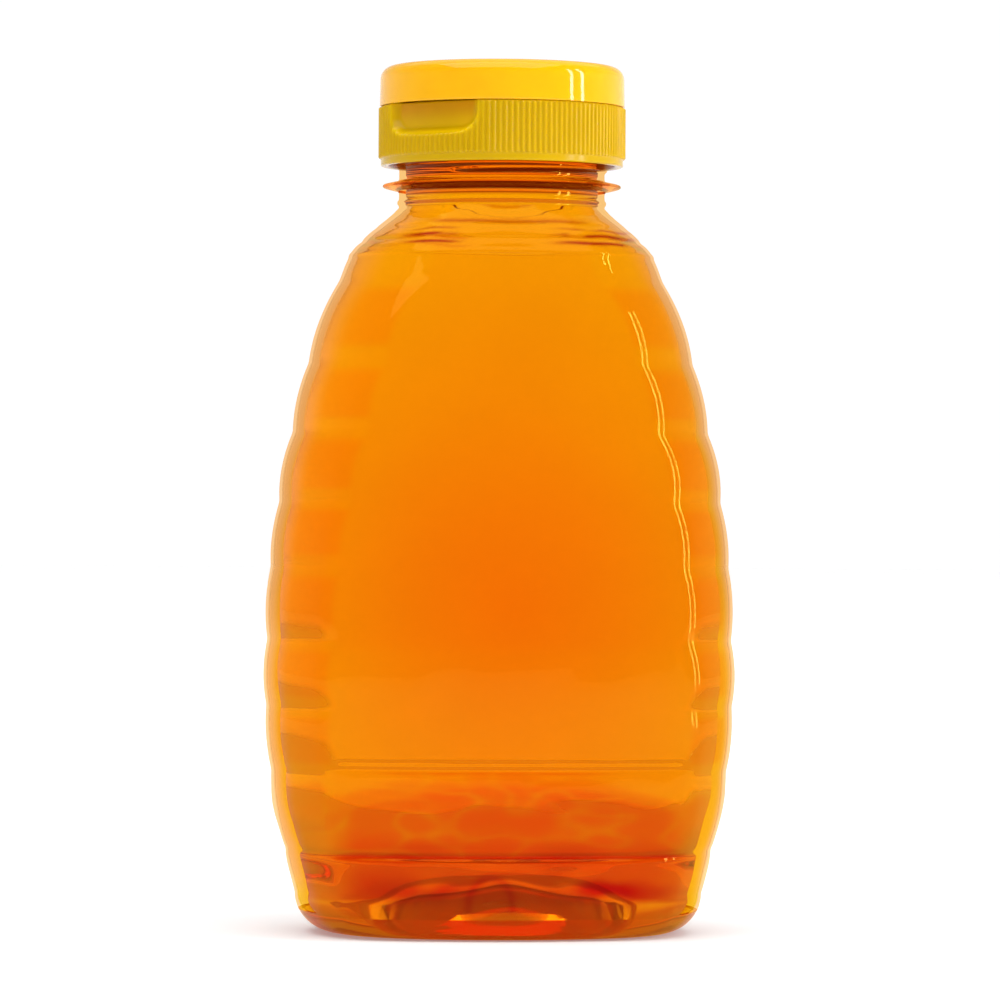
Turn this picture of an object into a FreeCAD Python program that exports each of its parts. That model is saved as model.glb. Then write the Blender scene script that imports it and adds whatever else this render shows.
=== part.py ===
# Squeeze bottle of honey with a flip-top cap, as a parametric FreeCAD document.
# Frame: millimetres, +Z up, origin on the ground under the middle of the bottle,
# flat label panels facing -Y and +Y, ribbed sides facing -X and +X.
#
# Sub-parts (one solid each):
#   bottle    clear PET shell: ribbed oval body, shoulder, neck with support ring
#   honey     the filling, out to the inside of the shell and up into the neck
#   cap_base  knurled skirt, deck with its pouring hole, thumb scoop
#   lid       flip-top lid with its sealing plug, hinged on cap_base
import FreeCAD, Part
import math
import os

import Sketcher
from FreeCAD import Vector, Placement, Rotation

doc = FreeCAD.newDocument("SqueezeBottle")

# ---------------------------------------------------------------------------
# driving dimensions
# ---------------------------------------------------------------------------
dims = doc.addObject("Spreadsheet::Sheet", "dims")
CELLS = [
    # body of the bottle
    ("wide_level", 40.0, "height of the fattest section"),
    ("half_depth", 27.5, "half depth over the label panels, at wide_level"),
    ("depth_taper_up", 104.0, "semi-height of the panel's side profile, upwards"),
    ("depth_taper_down", 108.0, "semi-height of the panel's side profile, downwards"),
    ("panel_curve", 110.0, "radius of the label panel in plan"),
    ("corner_blend", 0.9, "rounding between panel and ribbed side"),
    ("heel_level", 6.5, "top of the heel's rounding"),
    ("stand_half_width", 27.7, "half width of the oval that it stands on"),
    ("stand_half_depth", 22.6, "half depth of that oval"),
    ("stand_fullness", 2.3, "exponent of that oval, 2 for an ellipse"),
    ("corner_foot", 5.0, "rounding between panel and side at the heel"),
    ("band_swell", 0.45, "how far the lowest band stands out at front and back"),
    ("heel_half_width", 34.15, "half width at the top of the heel"),
    ("shoulder_level", 111.3, "top edge of the label panel"),
    ("neck_level", 121.2, "where shoulder and neck meet"),
    ("wall", 0.75, "wall of the body"),
    ("floor_wall", 1.1, "wall of the base"),
    ("pushup_height", 9.5, "how high the base is pushed up in its middle"),
    ("pushup_reach", 0.86, "edge of the push-up, as a share of the standing ring"),
    ("gate_radius", 2.4, "radius of the gate mark under the push-up"),
    ("gate_drop", 1.0, "how far the gate mark stands down"),
    # creases between the ribs: height and half width
    ("crease_a_level", 13.8, ""), ("crease_a_half", 35.85, ""),
    ("crease_b_level", 26.9, ""), ("crease_b_half", 38.2, ""),
    ("crease_c_level", 37.8, ""), ("crease_c_half", 39.08, ""),
    ("crease_d_level", 48.8, ""), ("crease_d_half", 38.96, ""),
    ("crease_e_level", 61.0, ""), ("crease_e_half", 38.45, ""),
    ("crease_f_level", 71.9, ""), ("crease_f_half", 37.06, ""),
    ("crease_g_level", 83.5, ""), ("crease_g_half", 34.87, ""),
    ("crease_h_level", 95.1, ""), ("crease_h_half", 32.27, ""),
    ("crease_i_level", 108.9, ""), ("crease_i_half", 27.2, ""),
    # how far each rib stands out between its two creases
    ("swell_ab", 0.62, ""), ("swell_bc", 0.42, ""), ("swell_cd", 0.59, ""),
    ("swell_de", 0.54, ""), ("swell_ef", 0.48, ""), ("swell_fg", 0.72, ""),
    ("swell_gh", 0.60, ""), ("swell_hi", 0.88, ""),
    # neck finish
    ("neck_outer", 17.3, "outer radius of the neck"),
    ("neck_inner", 15.7, "bore of the neck"),
    ("ring_radius", 20.0, "support ring"),
    ("ring_low", 124.1, "underside of the support ring at the neck"),
    ("ring_high", 125.7, "top of the support ring at the neck"),
    ("mouth_level", 136.8, "rim of the mouth"),
    ("honey_level", 133.3, "surface of the honey in the neck"),
    # cap
    ("cap_low", 128.2, "lower edge of the skirt"),
    ("knurl_low", 129.5, "lower end of the knurls"),
    ("split_level", 138.2, "top of the skirt, under the lid"),
    ("band_radius", 20.35, "plain band, and the valleys between the knurls"),
    ("knurl_radius", 20.75, "tips of the knurls"),
    ("knurl_count", 136, ""),
    ("skirt_bore", 17.6, "bore round the neck's rim"),
    ("thread_bore", 18.9, "wider bore round the thread"),
    ("thread_top", 131.9, "top of the wider bore"),
    ("stage_radius", 17.4, "raised middle of the deck"),
    ("stage_level", 139.7, ""),
    ("spout_radius", 5.6, "boss round the pouring hole"),
    ("spout_level", 141.0, ""),
    ("hole_radius", 3.175, "pouring hole"),
    ("scoop_floor", 18.35, "thumb scoop: its floor's distance from the cap's axis"),
    ("scoop_half", 8.0, "half width of the scoop's floor"),
    ("scoop_low", 133.6, "lower edge of the scoop's floor"),
    ("scoop_corner", 2.6, "its corner radius"),
    ("scoop_slope", 32.0, "slope of its sides, degrees"),
    ("hinge_flat", 20.0, "flats at the hinge, distance from the axis"),
    ("hinge_flat_low", 134.9, "lower end of the flat on the skirt"),
    ("hinge_flat_high", 141.2, "upper end of the flat on the lid"),
    ("lid_low", 138.35, "rim of the lid"),
    ("lid_top", 145.0, "top of the lid"),
    ("lid_radius", 20.6, ""),
    ("lid_edge", 2.2, "rounding of the lid's top edge"),
    ("lid_bore", 19.1, "inside radius of the lid"),
    ("lid_ceiling", 143.5, "inside of the lid's top"),
    ("plug_radius", 2.85, "sealing plug"),
    ("plug_bore", 1.9, "hollow of the plug"),
    ("plug_tip", 139.9, "lower end of the plug"),
    ("cap_turn", -43.0, "the scoop faces this far round from -Y"),
]
for row, (alias, value, note) in enumerate(CELLS, 1):
    dims.set("A%d" % row, alias)
    dims.set("B%d" % row, repr(value))
    if note:
        dims.set("C%d" % row, note)
    dims.setAlias("B%d" % row, alias)
doc.recompute()


def dim(alias):
    return float(getattr(dims, alias))


# ---------------------------------------------------------------------------
# form of the body, as a section radius at a height and a bearing
# ---------------------------------------------------------------------------
CREASES = [(dim("crease_%s_level" % k), dim("crease_%s_half" % k)) for k in "abcdefghi"]
SWELLS = [dim("swell_%s" % k) for k in ("ab", "bc", "cd", "de", "ef", "fg", "gh", "hi")]
TURNS = 96


def side_half(z):
    """Half width of the ribbed side at height z, up to the shoulder."""
    low, high = CREASES[0], CREASES[-1]
    if z <= low[0]:
        foot = dim("heel_level")
        t = max(0.0, (z - foot) / (low[0] - foot))
        return dim("heel_half_width") + (low[1] - dim("heel_half_width")) * t
    if z >= high[0]:
        return high[1] - 0.375 * (z - high[0])
    for (z0, w0), (z1, w1), swell in zip(CREASES, CREASES[1:], SWELLS):
        if z <= z1:
            t = (z - z0) / (z1 - z0)
            return w0 + (w1 - w0) * t + 4.0 * swell * t * (1.0 - t)
    return high[1]


def panel_half(z):
    """Half depth over the middle of the label panel at height z."""
    rise = z - dim("wide_level")
    reach = dim("depth_taper_up") if rise > 0 else dim("depth_taper_down")
    half = dim("half_depth") * math.sqrt(1.0 - (rise / reach) ** 2)
    # the lowest rib runs on across the front, under the label panel
    low, high = CREASES[0][0], CREASES[1][0]
    if low < z < high:
        t = (z - low) / (high - low)
        half += 4.0 * dim("band_swell") * t * (1.0 - t)
    return half


def corner_round(z):
    """Rounding between panel and side: tight above, loose at the heel."""
    high, foot = CREASES[1][0], dim("heel_level")
    t = min(1.0, max(0.0, (high - z) / (high - foot)))
    return dim("corner_blend") + (dim("corner_foot") - dim("corner_blend")) * t


def depth_share(z):
    """Depth of the ribbed oval as a share of its width."""
    if z > 50.0:
        return 0.926 - 0.060 * (z - 50.0) / 55.0
    return 0.926 + 0.044 * (50.0 - max(z, 27.7)) / 22.3


def section_radius(z, angle, off):
    """Radius of the section at bearing `angle`, `off` inside the outer face."""
    half = side_half(z) - off
    deep = side_half(z) * depth_share(z) - off
    flat = panel_half(z) - off
    c, s = abs(math.cos(angle)), abs(math.sin(angle))
    oval = 1.0 / math.sqrt((c / half) ** 2 + (s / deep) ** 2)
    # the label panel is an arc of radius panel_curve about a point behind it
    big = dim("panel_curve")
    back = big - flat
    if s < 1e-6:
        plate = 10.0 * big
    else:
        plate = -back * s + math.sqrt((back * s) ** 2 + flat * (2.0 * big - flat))
    # rounded corner between the two
    k = corner_round(z)
    gap = max(0.0, k - abs(oval - plate)) / k
    return min(oval, plate) - k * gap * gap / 4.0


# profile of the shoulder at the sides, as half widths
SHOULDER = [(111.3, 26.3), (112.1, 25.95), (113.1, 25.5), (114.1, 24.9), (115.1, 24.05),
            (116.1, 23.0), (117.2, 21.85), (118.2, 20.65), (119.2, 19.4), (120.2, 18.25),
            (121.2, 17.3)]


def shoulder_share(z):
    """0 at the top of the panel, 1 at the neck."""
    top, end = SHOULDER[0][1], SHOULDER[-1][1]
    for (z0, w0), (z1, w1) in zip(SHOULDER, SHOULDER[1:]):
        if z <= z1:
            w = w0 + (w1 - w0) * (z - z0) / (z1 - z0)
            return (top - w) / (top - end)
    return 1.0


def ring(z, radii):
    """Closed smooth wire at height z through radii at even bearings from +X."""
    points = [Vector(r * math.cos(2 * math.pi * i / TURNS),
                     r * math.sin(2 * math.pi * i / TURNS), z)
              for i, r in enumerate(radii)]
    curve = Part.BSplineCurve()
    curve.interpolate(Points=points, PeriodicFlag=True)
    return Part.Wire([curve.toShape()])


def bearings():
    return [2 * math.pi * i / TURNS for i in range(TURNS)]


def standing_radii(off):
    """The oval that the bottle stands on."""
    n = dim("stand_fullness")
    wide, deep = dim("stand_half_width") - off, dim("stand_half_depth") - off
    return [1.0 / ((abs(math.cos(a)) / wide) ** n + (abs(math.sin(a)) / deep) ** n) ** (1.0 / n)
            for a in bearings()]


def skin(off, floor, neck):
    """Solid inside the bottle's face, moved in by `off`, bottom at `floor`."""
    foot, top = dim("heel_level"), dim("shoulder_level")
    stacks = []
    # heel: a quarter of an ellipse from the bottom to heel_level
    heel = []
    stand = standing_radii(off)
    wide = [section_radius(foot, a, off) for a in bearings()]
    for step in range(6):
        turn = math.radians(90.0 * (1.0 - step / 5.0))
        z = foot - (foot - floor) * math.sin(turn)
        heel.append(ring(z, [w - (w - s) * (1.0 - math.cos(turn)) for w, s in zip(wide, stand)]))
    stacks.append(heel)
    # base band, then one stack for each rib
    levels = [foot] + [z for z, w in CREASES] + [top]
    for z0, z1 in zip(levels, levels[1:]):
        count = 3 if z1 - z0 < 5.0 else 5
        stack = []
        for step in range(count):
            z = z0 + (z1 - z0) * step / (count - 1.0)
            z = min(max(z, z0), z1)
            stack.append(ring(z, [section_radius(z, a, off) for a in bearings()]))
        stacks.append(stack)
    # shoulder: from the panel's section to the round neck, in two stacks
    base = [section_radius(top, a, off) for a in bearings()]
    for part in (SHOULDER[:5], SHOULDER[4:]):
        stack = []
        for z, w in part:
            t = shoulder_share(z)
            stack.append(ring(z, [r + (neck - r) * t for r in base]))
        stacks.append(stack)
    body = None
    for stack in stacks:
        solid = Part.makeLoft(stack, True, False)
        body = solid if body is None else body.fuse(solid)
    return body


def pushup(off, lift):
    """Solid under the pushed-up base; `lift` moves it up for the inside."""
    stand = standing_radii(off)
    high = dim("pushup_height")
    edge = dim("pushup_reach")
    table = [(1.03, -0.20), (1.0, 0.0), (0.955, 0.16), (0.86, 0.42), (0.70, 0.68),
             (0.50, 0.86), (0.30, 0.96), (0.12, 1.0)]
    stack = [ring(lift + high * share, [edge * size * r for r in stand])
             for size, share in table]
    return Part.makeLoft(stack, True, False)


def feature(name, shape):
    obj = doc.addObject("Part::Feature", name)
    obj.Shape = shape
    obj.Placement = Placement()
    return obj


def bound(obj, **cells):
    for prop, expression in cells.items():
        obj.setExpression(prop, expression)
    return obj


# ---------------------------------------------------------------------------
# PartDesign helpers
# ---------------------------------------------------------------------------
def plane_of(body, role):
    return [f for f in body.Origin.OriginFeatures if f.Role == role][0]


def profile(body, name, role, corners, offset=None):
    """Closed sketch of straight lines; each corner is a pair of expressions."""
    sketch = body.newObject("Sketcher::SketchObject", name)
    sketch.AttachmentSupport = [(plane_of(body, role), "")]
    sketch.MapMode = "FlatFace"
    if offset:
        sketch.setExpression("AttachmentOffset.Base.z", offset)
    # first placed from evaluated sizes, then bound corner by corner
    names = dict((alias, dim(alias)) for alias, value, note in CELLS)
    start = []
    for across, up in corners:
        start.append(Vector(evaluate(across, names), evaluate(up, names), 0))
    count = len(corners)
    for i in range(count):
        sketch.addGeometry(Part.LineSegment(start[i], start[(i + 1) % count]), False)
    for i in range(count):
        sketch.addConstraint(Sketcher.Constraint("Coincident", i, 2, (i + 1) % count, 1))
    for i, (across, up) in enumerate(corners):
        for kind, text, value in (("DistanceX", across, start[i].x),
                                  ("DistanceY", up, start[i].y)):
            if abs(value) < 1e-9:
                axis = -2 if kind == "DistanceX" else -1
                sketch.addConstraint(Sketcher.Constraint("PointOnObject", i, 1, axis))
                continue
            label = "%s%d" % ("x" if kind == "DistanceX" else "y", i)
            number = sketch.addConstraint(Sketcher.Constraint(kind, -1, 1, i, 1, value))
            sketch.renameConstraint(number, label)
            sketch.setExpression("Constraints." + label, dotted(text))
    return sketch


def terms(text):
    """Split 'a + b - 0.3' into signed words and numbers."""
    out, sign = [], 1.0
    for word in text.split():
        if word == "+":
            sign = 1.0
        elif word == "-":
            sign = -1.0
        else:
            out.append((sign, word))
            sign = 1.0
    return out


def evaluate(text, names):
    total = 0.0
    for sign, word in terms(text):
        total += sign * (names[word] if word in names else float(word))
    return total


def dotted(text):
    out = ""
    for sign, word in terms(text):
        known = any(word == alias for alias, value, note in CELLS)
        out += (" + " if sign > 0 else " - ") + ("<<dims>>." + word if known else word)
    out = out.strip()
    return out[2:] if out.startswith("+ ") else "0 " + out


def revolve(body, sketch, name, kind="PartDesign::Revolution"):
    turned = body.newObject(kind, name)
    turned.Profile = sketch
    turned.ReferenceAxis = (sketch, ["V_Axis"])
    turned.Angle = 360.0
    sketch.Visibility = False
    doc.recompute()
    return turned


def cut_away(body, sketch, name, length, outward, slope=None):
    """Pocket that must remove material; stops the script if it doesn't."""
    before = body.Shape.Volume
    pocket = body.newObject("PartDesign::Pocket", name)
    pocket.Profile = sketch
    pocket.Length = length
    pocket.Reversed = outward
    if slope:
        pocket.setExpression("TaperAngle", slope)
    doc.recompute()
    if not body.Shape.Volume < before - 0.5:
        raise RuntimeError("%s cuts nothing" % name)
    return pocket


# ---------------------------------------------------------------------------
# bottle and honey
# ---------------------------------------------------------------------------
outer_body = feature("outer_body", skin(0.0, 0.0, dim("neck_outer")))
outer_hollow = feature("outer_pushup", pushup(0.0, 0.0))
inner_body = feature("inner_body", skin(dim("wall"), dim("floor_wall"), dim("neck_inner")))
inner_hollow = feature("inner_pushup", pushup(0.0, dim("floor_wall")))

# gate mark, a small round boss that stands down from the middle of the base
gate = doc.addObject("Part::Cone", "gate")
bound(gate, Radius1="dims.gate_radius * 0.8", Radius2="dims.gate_radius",
      Height="dims.gate_drop + 0.5")
gate.setExpression("Placement.Base.z", "dims.pushup_height - dims.gate_drop")
# the same mark shows as a small rise inside
gate_rise = doc.addObject("Part::Cone", "gate_rise")
bound(gate_rise, Radius1="dims.gate_radius * 1.5", Radius2="dims.gate_radius * 0.7",
      Height="1.4")
gate_rise.setExpression("Placement.Base.z", "dims.pushup_height + dims.floor_wall - 0.3")

# neck finish: tube, small step over the shoulder, support ring, rim
neck = doc.addObject("PartDesign::Body", "neck_finish")
neck_sketch = profile(neck, "neck_profile", "XZ_Plane", [
    ("0", "neck_level - 2.2"),
    ("neck_outer - 0.2", "neck_level - 2.2"),
    ("neck_outer", "neck_level"),
    ("neck_outer", "neck_level + 0.5"),
    ("neck_outer + 0.22", "neck_level + 0.75"),
    ("neck_outer + 0.22", "neck_level + 1.05"),
    ("neck_outer", "neck_level + 1.3"),
    ("neck_outer", "ring_low"),
    ("ring_radius - 0.25", "ring_low + 0.5"),
    ("ring_radius", "ring_low + 0.68"),
    ("ring_radius", "ring_low + 1.02"),
    ("ring_radius - 0.3", "ring_low + 1.18"),
    ("neck_outer", "ring_high"),
    ("neck_outer", "mouth_level - 0.5"),
    ("neck_outer - 0.5", "mouth_level"),
    ("0", "mouth_level"),
])
revolve(neck, neck_sketch, "neck_turned")

bore = doc.addObject("Part::Cylinder", "neck_bore")
bound(bore, Radius="dims.neck_inner", Height="dims.mouth_level - dims.neck_level + 1.2")
bore.setExpression("Placement.Base.z", "dims.neck_level - 0.2")

fill_neck = doc.addObject("Part::Cylinder", "neck_fill")
bound(fill_neck, Radius="dims.neck_inner", Height="dims.honey_level - dims.neck_level + 0.2")
fill_neck.setExpression("Placement.Base.z", "dims.neck_level - 0.2")


def fuse(name, *parts):
    obj = doc.addObject("Part::MultiFuse", name)
    obj.Shapes = list(parts)
    return obj


def cut(name, base, tool):
    obj = doc.addObject("Part::Cut", name)
    obj.Base = base
    obj.Tool = tool
    return obj


outer_base = cut("outer_raised", outer_body, outer_hollow)
outer_all = fuse("outer_all", outer_base, neck, gate)
inner_raised = cut("inner_raised", inner_body, inner_hollow)
inner_base = cut("inner_base", inner_raised, gate_rise)
space = fuse("inner_space", inner_base, bore)

bottle = cut("bottle_shell", outer_all, space)
bottle.Label = "bottle"

honey = fuse("honey_fill", inner_base, fill_neck)
honey.Label = "honey"

# ---------------------------------------------------------------------------
# cap: skirt and deck, modelled with the scoop towards -Y, then turned
# ---------------------------------------------------------------------------
base = doc.addObject("PartDesign::Body", "cap_base_body")
base.Label = "cap_base"

core = profile(base, "core_profile", "XZ_Plane", [
    ("0", "cap_low"),
    ("band_radius - 0.25", "cap_low"),
    ("band_radius", "cap_low + 0.3"),
    ("band_radius", "split_level - 0.25"),
    ("band_radius - 0.25", "split_level"),
    ("stage_radius", "split_level"),
    ("stage_radius - 0.5", "stage_level"),
    ("spout_radius + 0.5", "stage_level"),
    ("spout_radius - 0.2", "spout_level"),
    ("0", "spout_level"),
])
revolve(base, core, "core_turned")

# knurls: fine upright teeth all round, as one toothed outline padded upwards
teeth = base.newObject("Sketcher::SketchObject", "knurl_outline")
teeth.AttachmentSupport = [(plane_of(base, "XY_Plane"), "")]
teeth.MapMode = "FlatFace"
teeth.setExpression("AttachmentOffset.Base.z", "<<dims>>.knurl_low")
count = int(dim("knurl_count"))
tip, valley = dim("knurl_radius"), dim("band_radius") - 0.02
corners = []
for i in range(count):
    for share, radius in ((-0.36, valley), (-0.14, tip), (0.14, tip), (0.36, valley)):
        a = 2 * math.pi * (i + share) / count
        corners.append(Vector(radius * math.cos(a), radius * math.sin(a), 0))
teeth.addGeometry([Part.LineSegment(corners[i], corners[(i + 1) % len(corners)])
                   for i in range(len(corners))], False)
teeth.addConstraint([Sketcher.Constraint("Coincident", i, 2, (i + 1) % len(corners), 1)
                     for i in range(len(corners))])
knurls = base.newObject("PartDesign::Pad", "knurls")
knurls.Profile = teeth
knurls.setExpression("Length", "<<dims>>.split_level - <<dims>>.knurl_low - 0.25")
teeth.Visibility = False
doc.recompute()

# inside of the skirt: wide over the thread, narrower over the rim
bore_profile = profile(base, "skirt_bore_profile", "XZ_Plane", [
    ("0", "cap_low - 1"),
    ("thread_bore + 0.3", "cap_low - 1"),
    ("thread_bore + 0.3", "cap_low"),
    ("thread_bore", "cap_low + 0.4"),
    ("thread_bore", "thread_top"),
    ("skirt_bore", "thread_top + 0.9"),
    ("skirt_bore", "mouth_level"),
    ("0", "mouth_level"),
])
revolve(base, bore_profile, "skirt_bored", "PartDesign::Groove")

# pouring hole through the deck, with a lead-in at its lip
hole_profile = profile(base, "hole_profile", "XZ_Plane", [
    ("0", "mouth_level - 0.5"),
    ("hole_radius", "mouth_level - 0.5"),
    ("hole_radius", "spout_level - 0.35"),
    ("hole_radius + 0.35", "spout_level"),
    ("hole_radius + 0.35", "spout_level + 0.5"),
    ("0", "spout_level + 0.5"),
])
revolve(base, hole_profile, "hole_bored", "PartDesign::Groove")

# thumb scoop: a round-cornered outline on its floor, widening outwards
scoop = base.newObject("Sketcher::SketchObject", "scoop_outline")
scoop.AttachmentSupport = [(plane_of(base, "XZ_Plane"), "")]
scoop.MapMode = "FlatFace"
scoop.setExpression("AttachmentOffset.Base.z", "<<dims>>.scoop_floor")
half, low, high, r = (dim("scoop_half"), dim("scoop_low"), dim("split_level") + 0.6,
                      dim("scoop_corner"))
edges = [
    Part.LineSegment(Vector(-half, high, 0), Vector(-half, low + r, 0)),
    Part.Arc(Vector(-half, low + r, 0),
             Vector(-half + r * (1 - math.sqrt(0.5)), low + r * (1 - math.sqrt(0.5)), 0),
             Vector(-half + r, low, 0)),
    Part.LineSegment(Vector(-half + r, low, 0), Vector(half - r, low, 0)),
    Part.Arc(Vector(half - r, low, 0),
             Vector(half - r * (1 - math.sqrt(0.5)), low + r * (1 - math.sqrt(0.5)), 0),
             Vector(half, low + r, 0)),
    Part.LineSegment(Vector(half, low + r, 0), Vector(half, high, 0)),
    Part.LineSegment(Vector(half, high, 0), Vector(-half, high, 0)),
]
for e in edges:
    scoop.addGeometry(e, False)
for first, first_end, second, second_end in (
        (5, 1, 4, 2), (0, 1, 5, 2), (2, 2, 3, 1), (3, 2, 4, 1), (0, 2, 1, 1), (1, 2, 2, 1)):
    g, h = scoop.Geometry[first], scoop.Geometry[second]
    p = g.StartPoint if first_end == 1 else g.EndPoint
    q = h.StartPoint if second_end == 1 else h.EndPoint
    if p.distanceToPoint(q) < 1e-6:
        scoop.addConstraint(Sketcher.Constraint("Coincident", first, first_end,
                                                second, second_end))
doc.recompute()
cut_away(base, scoop, "thumb_scoop", 4.0, True, "<<dims>>.scoop_slope")

# flat at the hinge
flat_low = profile(base, "skirt_flat_outline", "XZ_Plane", [
    ("-8", "hinge_flat_low"), ("8", "hinge_flat_low"),
    ("8", "split_level + 1"), ("-8", "split_level + 1"),
])
flat_low.setExpression("AttachmentOffset.Base.z", "-<<dims>>.hinge_flat")
doc.recompute()
cut_away(base, flat_low, "skirt_flat", 3.0, False)

# ---------------------------------------------------------------------------
# lid
# ---------------------------------------------------------------------------
lid = doc.addObject("PartDesign::Body", "lid_body")
lid.Label = "lid"
lid_profile = profile(lid, "lid_profile", "XZ_Plane", [
    ("plug_bore", "lid_ceiling"),
    ("plug_bore", "plug_tip"),
    ("plug_radius - 0.25", "plug_tip"),
    ("plug_radius", "plug_tip + 0.4"),
    ("plug_radius + 0.1", "lid_ceiling"),
    ("lid_bore", "lid_ceiling"),
    ("lid_bore + 0.1", "lid_low"),
    ("lid_radius - 0.15", "lid_low"),
    ("lid_radius", "lid_low + 0.2"),
    ("lid_radius - 0.12", "lid_top"),
    ("0", "lid_top"),
    ("0", "lid_ceiling"),
])
revolve(lid, lid_profile, "lid_turned")

edge_name = None
for number, edge in enumerate(lid.Shape.Edges, 1):
    box = edge.BoundBox
    if (abs(box.ZMin - dim("lid_top")) < 1e-4 and abs(box.ZMax - dim("lid_top")) < 1e-4
            and box.XMax > dim("lid_radius") - 1.0):
        edge_name = "Edge%d" % number
rounding = lid.newObject("PartDesign::Fillet", "lid_rounded")
rounding.Base = (lid.Tip if lid.Tip.Name != rounding.Name else rounding.BaseFeature, [edge_name])
rounding.setExpression("Radius", "<<dims>>.lid_edge")
doc.recompute()

flat_high = profile(lid, "lid_flat_outline", "XZ_Plane", [
    ("-8", "lid_low - 1"), ("8", "lid_low - 1"),
    ("8", "hinge_flat_high"), ("-8", "hinge_flat_high"),
])
flat_high.setExpression("AttachmentOffset.Base.z", "-<<dims>>.hinge_flat")
doc.recompute()
cut_away(lid, flat_high, "lid_flat", 3.0, False)

# the scoop and the hinge stand on a line that is turned about the cap's axis
for body in (base, lid):
    body.setExpression("Placement.Rotation.Angle", "<<dims>>.cap_turn")
    body.Placement = Placement(Vector(0, 0, 0), Rotation(Vector(0, 0, 1), dim("cap_turn")))

doc.recompute()

# ---------------------------------------------------------------------------
# test and write
# ---------------------------------------------------------------------------
for obj in doc.Objects:
    if "Invalid" in obj.State or "Error" in obj.State:
        raise RuntimeError("%s failed: %s" % (obj.Name, obj.State))

PARTS = [bottle, honey, base, lid]
os.makedirs("parts", exist_ok=True)
for obj in PARTS:
    shape = obj.Shape
    if shape.isNull() or not shape.isValid():
        raise RuntimeError("%s has no valid shape" % obj.Label)
    if len(shape.Solids) != 1:
        raise RuntimeError("%s has %d solids" % (obj.Label, len(shape.Solids)))
    box = shape.BoundBox
    print("%-9s volume %9.1f mm3  x %.2f..%.2f  y %.2f..%.2f  z %.2f..%.2f  faces %d"
          % (obj.Label, shape.Volume, box.XMin, box.XMax, box.YMin, box.YMax,
             box.ZMin, box.ZMax, len(shape.Faces)))
for obj in PARTS:
    obj.Shape.exportStep("parts/%s.step" % obj.Label)
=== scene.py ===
# Looks of the honey squeeze bottle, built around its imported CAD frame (metres, +Z up).
import math

import bpy
import numpy as np
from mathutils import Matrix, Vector, noise


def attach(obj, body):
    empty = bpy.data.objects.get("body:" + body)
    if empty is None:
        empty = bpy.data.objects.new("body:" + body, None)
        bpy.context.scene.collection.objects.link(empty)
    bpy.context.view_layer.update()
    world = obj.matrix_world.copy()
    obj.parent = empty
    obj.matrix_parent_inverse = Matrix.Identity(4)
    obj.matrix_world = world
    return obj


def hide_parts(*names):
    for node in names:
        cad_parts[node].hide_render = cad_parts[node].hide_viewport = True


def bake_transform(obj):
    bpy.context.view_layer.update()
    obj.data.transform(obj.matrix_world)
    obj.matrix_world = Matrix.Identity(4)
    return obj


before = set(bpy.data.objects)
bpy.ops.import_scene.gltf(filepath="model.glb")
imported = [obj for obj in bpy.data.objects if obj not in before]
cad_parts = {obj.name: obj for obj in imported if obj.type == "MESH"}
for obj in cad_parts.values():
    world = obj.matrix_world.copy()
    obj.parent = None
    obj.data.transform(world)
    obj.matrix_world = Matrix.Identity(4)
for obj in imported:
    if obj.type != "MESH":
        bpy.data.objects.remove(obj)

scene = bpy.context.scene
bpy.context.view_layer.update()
MM = 0.001
BODY = "bottle_body"
LID = "lid_body"


# ---------------------------------------------------------------------------
# small helpers
# ---------------------------------------------------------------------------
def smooth01(t):
    t = np.clip(t, 0.0, 1.0)
    return t * t * (3.0 - 2.0 * t)


def softmin(a, b, k):
    gap = np.maximum(0.0, k - np.abs(a - b)) / k
    return np.minimum(a, b) - k * gap * gap / 4.0


def new_mesh(name, verts, faces, smooth=True):
    mesh = bpy.data.meshes.new(name)
    verts = np.asarray(verts, float)
    mesh.from_pydata([tuple(v) for v in verts.tolist()], [], faces)
    mesh.validate()
    mesh.update()
    if smooth:
        mesh.polygons.foreach_set("use_smooth", [True] * len(mesh.polygons))
    obj = bpy.data.objects.new(name, mesh)
    scene.collection.objects.link(obj)
    return obj


def rows_to_mesh(name, rows, cap_first=True, cap_last=True):
    """Closed surface through rows of points (each row one turn, the same count).

    A row may be a single point, which closes the surface there."""
    verts, faces, start = [], [], []
    for row in rows:
        start.append(len(verts))
        verts.extend(row.tolist())
    for i in range(len(rows) - 1):
        a, b = rows[i], rows[i + 1]
        sa, sb = start[i], start[i + 1]
        n = max(len(a), len(b))
        for j in range(n):
            k = (j + 1) % n
            if len(a) == 1:
                faces.append((sa, sb + k, sb + j))
            elif len(b) == 1:
                faces.append((sa + j, sa + k, sb))
            else:
                faces.append((sa + j, sa + k, sb + k, sb + j))
    return new_mesh(name, verts, faces)


# ---------------------------------------------------------------------------
# camera: level, a little to the bottle's left, as in the photograph
# ---------------------------------------------------------------------------
DISTANCE, CAMERA_AZ, CAMERA_Z = 0.950, math.radians(-5.0), 0.0706
cam_data = bpy.data.cameras.new("camera")
camera = bpy.data.objects.new("camera", cam_data)
scene.collection.objects.link(camera)
cam_data.sensor_width = 36.0
cam_data.lens = 203.5
cam_data.shift_y = 0.010
cam_data.clip_start = 0.01
cam_data.clip_end = 50.0
camera.location = (DISTANCE * math.sin(CAMERA_AZ), -DISTANCE * math.cos(CAMERA_AZ), CAMERA_Z)
# a quarter turn up to the horizontal, a third of a degree of roll, then the bearing
camera.rotation_mode = "QUATERNION"
from mathutils import Matrix
turn = (Matrix.Rotation(CAMERA_AZ, 3, "Z") @ Matrix.Rotation(math.radians(90.0), 3, "X")
        @ Matrix.Rotation(math.radians(0.32), 3, "Z"))
camera.rotation_quaternion = turn.to_quaternion()
scene.camera = camera


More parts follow.
